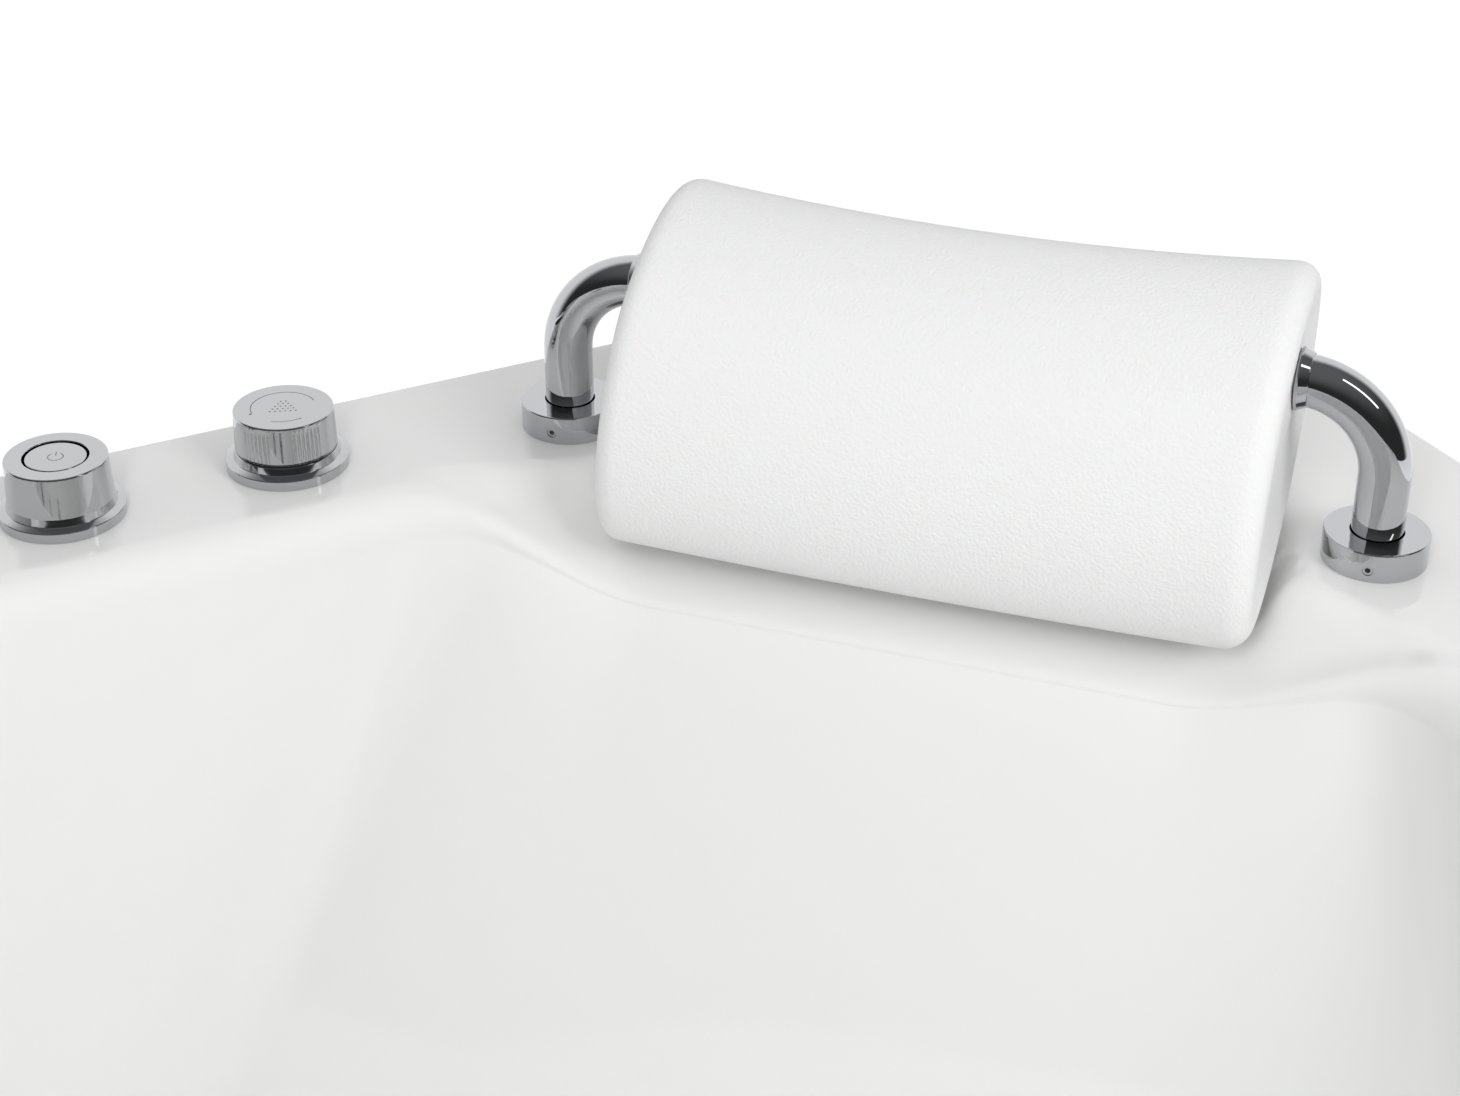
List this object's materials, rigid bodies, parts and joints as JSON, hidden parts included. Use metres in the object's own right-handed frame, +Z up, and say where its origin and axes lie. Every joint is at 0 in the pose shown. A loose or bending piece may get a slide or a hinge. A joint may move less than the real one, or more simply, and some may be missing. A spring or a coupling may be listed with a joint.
{
  "type": "jetted bathtub",
  "caption": "Offset-corner acrylic jetted bath on a steel frame with apron panels, padded headrest on a chrome rail, deck controls, jets, pump, pipework and pop-up waste.",
  "frame": {"origin": "on the floor under the middle of the bath's bounding box", "axes": "+X along the back wall towards the wide headrest end, +Y to the back wall, +Z up"},
  "size_m": [1.6, 1.13, 0.7277],
  "materials": {
    "acrylic": "white moulded sanitary acrylic, polished",
    "pillow_skin": "white self-skinned polyurethane foam with a fine grain",
    "chrome": "polished chrome plating",
    "chromed_plastic": "chrome plated moulded plastic",
    "stainless": "turned stainless steel",
    "zinc_steel": "zinc plated steel",
    "board": "resin bonded chipboard laminated into the glass fibre",
    "pvc_white": "white PVC plumbing",
    "pvc_grey": "grey PVC plumbing",
    "black_plastic": "black moulded plastic",
    "motor_alloy": "die-cast aluminium, as cast",
    "rubber": "black rubber"
  },
  "bodies": {
    "bath": {"air_control_body": "chromed_plastic", "air_pipes": "pvc_white", "base_board": "board", "bath_trap": "pvc_white", "button_bellows": "rubber", "button_housing": "chromed_plastic", "cable_gland": "black_plastic", "control_gaskets": "rubber", "control_nuts": "pvc_white", "end_panel": "acrylic", "fan_cover": "black_plastic", "foot_lock_nuts": "zinc_steel", "front_apron": "acrylic", "headrest_pillow": "pillow_skin", "headrest_rail": "chrome", "headrest_roses": "chrome", "headrest_studs": "zinc_steel", "jet_bodies": "pvc_white", "jet_escutcheons": "chromed_plastic", "levelling_feet": "zinc_steel", "overflow_body": "pvc_white", "overflow_pipe": "pvc_white", "overflow_plate": "chromed_plastic", "panel_clips": "zinc_steel", "pillow_collars": "chrome", "pump_base": "zinc_steel", "pump_base_bolts": "zinc_steel", "pump_bearings": "stainless", "pump_motor": "motor_alloy", "pump_seal_plate": "black_plastic", "pump_unions": "pvc_grey", "pump_wet_end": "black_plastic", "rose_grub_screws": "stainless", "shaft_seal": "rubber", "suction_body": "pvc_white", "suction_cover": "chromed_plastic", "suction_pipe": "pvc_white", "suction_screw": "stainless", "support_frame": "zinc_steel", "terminal_box": "black_plastic", "tub_shell": "acrylic", "waste_body": "pvc_white", "waste_flange": "chrome", "waste_nuts": "pvc_white", "water_pipes": "pvc_white"},
    "button": {"power_button": "chromed_plastic"},
    "air_control": {"air_knob": "chromed_plastic", "air_valve_sleeve": "pvc_white"},
    "pump_rotor": {"pump_shaft": "stainless", "pump_impeller": "black_plastic", "cooling_fan": "black_plastic"},
    "plug": {"waste_plug": "chrome"},
    "overflow_control": {"overflow_knob": "chromed_plastic"},
    "nozzle_1": {"jet_nozzle_1": "chromed_plastic"},
    "nozzle_2": {"jet_nozzle_2": "chromed_plastic"},
    "nozzle_3": {"jet_nozzle_3": "chromed_plastic"},
    "nozzle_4": {"jet_nozzle_4": "chromed_plastic"},
    "nozzle_5": {"jet_nozzle_5": "chromed_plastic"},
    "nozzle_6": {"jet_nozzle_6": "chromed_plastic"}
  },
  "joints": [
    {"name": "button_press", "type": "slide", "parent": "bath", "child": "button", "axis": [0, 0, -1], "range_m": [0, 0.003], "stiffness_N_per_m": 400, "springref_m": -0.0008, "deforming": ["button_bellows"]},
    {"name": "air_turn", "type": "hinge", "parent": "bath", "child": "air_control", "pos_m": [0.2666, 0.5096, 0.6], "axis": [0, 0, -1], "range_deg": [0, 180]},
    {"name": "pump_spin", "type": "hinge", "parent": "bath", "child": "pump_rotor", "pos_m": [0.48, 0.345, 0.236], "axis": [1, 0, 0], "continuous": true},
    {"name": "overflow_turn", "type": "hinge", "parent": "bath", "child": "overflow_control", "pos_m": [-0.65505, 0.203, 0.505], "axis": [0.962, 0, 0.2729], "range_deg": [0, 90]},
    {"name": "plug_lift", "type": "slide", "parent": "bath", "child": "plug", "axis": [0, 0, 1], "range_m": [0, 0.01]},
    {"name": "nozzle_1_tilt", "type": "hinge", "parent": "bath", "child": "nozzle_1", "pos_m": [-0.42, 0.41203, 0.32943], "axis": [-1, 0, 0], "range_deg": [-10, 10]},
    {"name": "nozzle_2_tilt", "type": "hinge", "parent": "bath", "child": "nozzle_2", "pos_m": [-0.27, 0.41203, 0.32943], "axis": [-1, 0, 0], "range_deg": [-10, 10]},
    {"name": "nozzle_3_tilt", "type": "hinge", "parent": "bath", "child": "nozzle_3", "pos_m": [-0.12, 0.41203, 0.32943], "axis": [-1, 0, 0], "range_deg": [-10, 10]},
    {"name": "nozzle_4_tilt", "type": "hinge", "parent": "bath", "child": "nozzle_4", "pos_m": [-0.425, -0.00224, 0.32942], "axis": [1, 0, 0], "range_deg": [-10, 10]},
    {"name": "nozzle_5_tilt", "type": "hinge", "parent": "bath", "child": "nozzle_5", "pos_m": [-0.21464, -0.0236, 0.32954], "axis": [0.9613, -0.2756, 0], "range_deg": [-10, 10]},
    {"name": "nozzle_6_tilt", "type": "hinge", "parent": "bath", "child": "nozzle_6", "pos_m": [-0.0584, -0.09647, 0.32971], "axis": [0.829, -0.5592, 0], "range_deg": [-10, 10]}
  ],
  "couplings": [
    {"joint": "plug_lift", "follows": "overflow_turn", "m_per_rad": 0.0063662}
  ]
}
